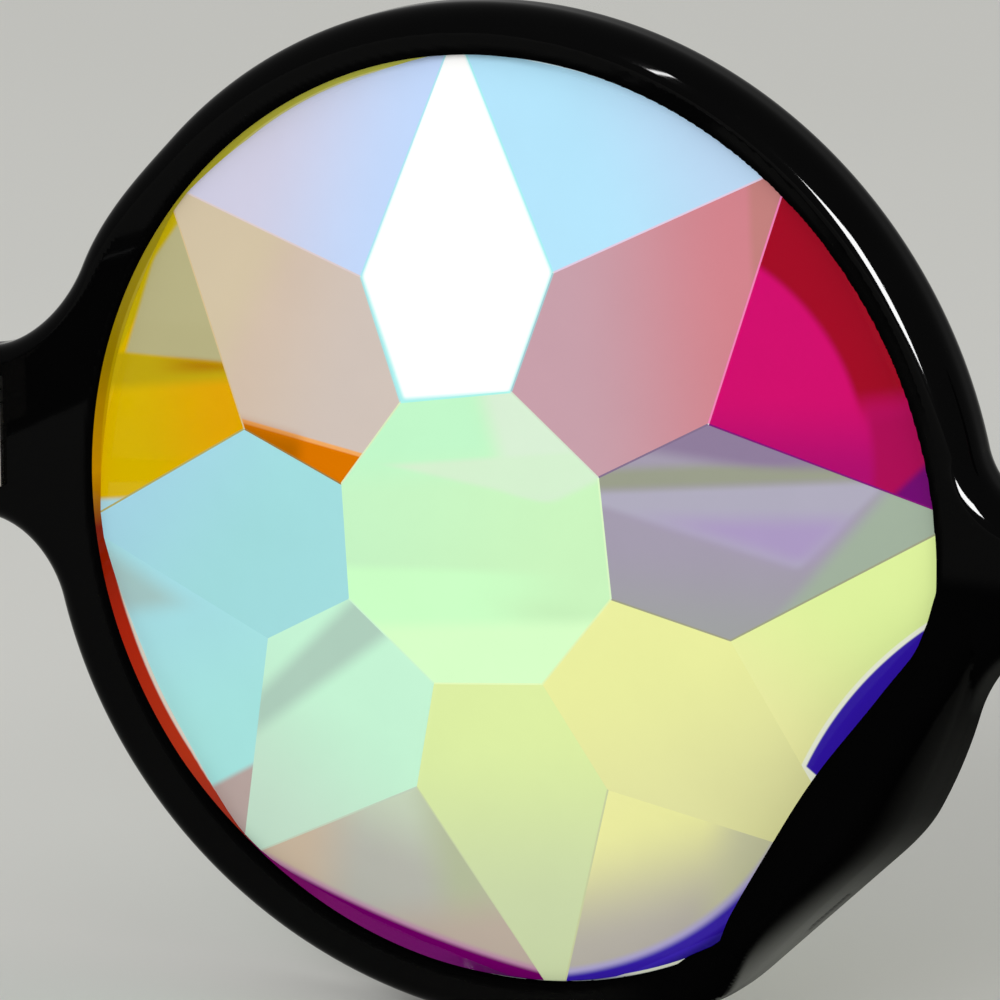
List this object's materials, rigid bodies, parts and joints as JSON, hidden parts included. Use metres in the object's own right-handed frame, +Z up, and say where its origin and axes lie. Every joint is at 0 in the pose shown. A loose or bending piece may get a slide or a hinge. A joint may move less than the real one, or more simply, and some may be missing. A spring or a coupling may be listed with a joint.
{
  "type": "diffraction glasses",
  "caption": "Round black plastic glasses with thick faceted colour-shifting glass lenses, moulded nose pads and folding temples with ear bends.",
  "frame": {"origin": "on the table plane under the middle of the bounding box, where the rims and the temple tips rest", "axes": "+Z up, the front faces -Y and the open temples run to +Y, +X is the wearer's left"},
  "size_m": [0.145, 0.1404, 0.0508],
  "materials": {
    "black_plastic": "polished black moulding",
    "facet_glass": "cut and polished glass with an iridescent coating",
    "cement": "clear optical cement",
    "hinge_metal": "nickel silver, satin",
    "screw_steel": "polished steel",
    "nylon": "natural nylon",
    "rivet_metal": "nickel silver, polished flush",
    "core_wire": "drawn wire"
  },
  "bodies": {
    "front": {"front_frame": "black_plastic", "lens_left": "facet_glass", "lens_right": "facet_glass", "lens_bead_left": "cement", "lens_bead_right": "cement", "hinge_front_left": "hinge_metal", "hinge_front_right": "hinge_metal", "hinge_screw_left": "screw_steel", "hinge_screw_right": "screw_steel", "hinge_washers_left": "nylon", "hinge_washers_right": "nylon", "front_rivets_left": "rivet_metal", "front_rivets_right": "rivet_metal"},
    "temple_arm_left": {"temple_left": "black_plastic", "temple_core_left": "core_wire", "hinge_temple_left": "hinge_metal", "temple_rivets_left": "rivet_metal"},
    "temple_arm_right": {"temple_right": "black_plastic", "temple_core_right": "core_wire", "hinge_temple_right": "hinge_metal", "temple_rivets_right": "rivet_metal"}
  },
  "joints": [
    {"name": "temple_fold_left", "type": "hinge", "parent": "front", "child": "temple_arm_left", "pos_m": [0.0673, -0.06307, 0.027], "axis": [0, 0, 1], "range_deg": [0, 90]},
    {"name": "temple_fold_right", "type": "hinge", "parent": "front", "child": "temple_arm_right", "pos_m": [-0.0673, -0.06307, 0.027], "axis": [0, 0, -1], "range_deg": [0, 80]}
  ]
}
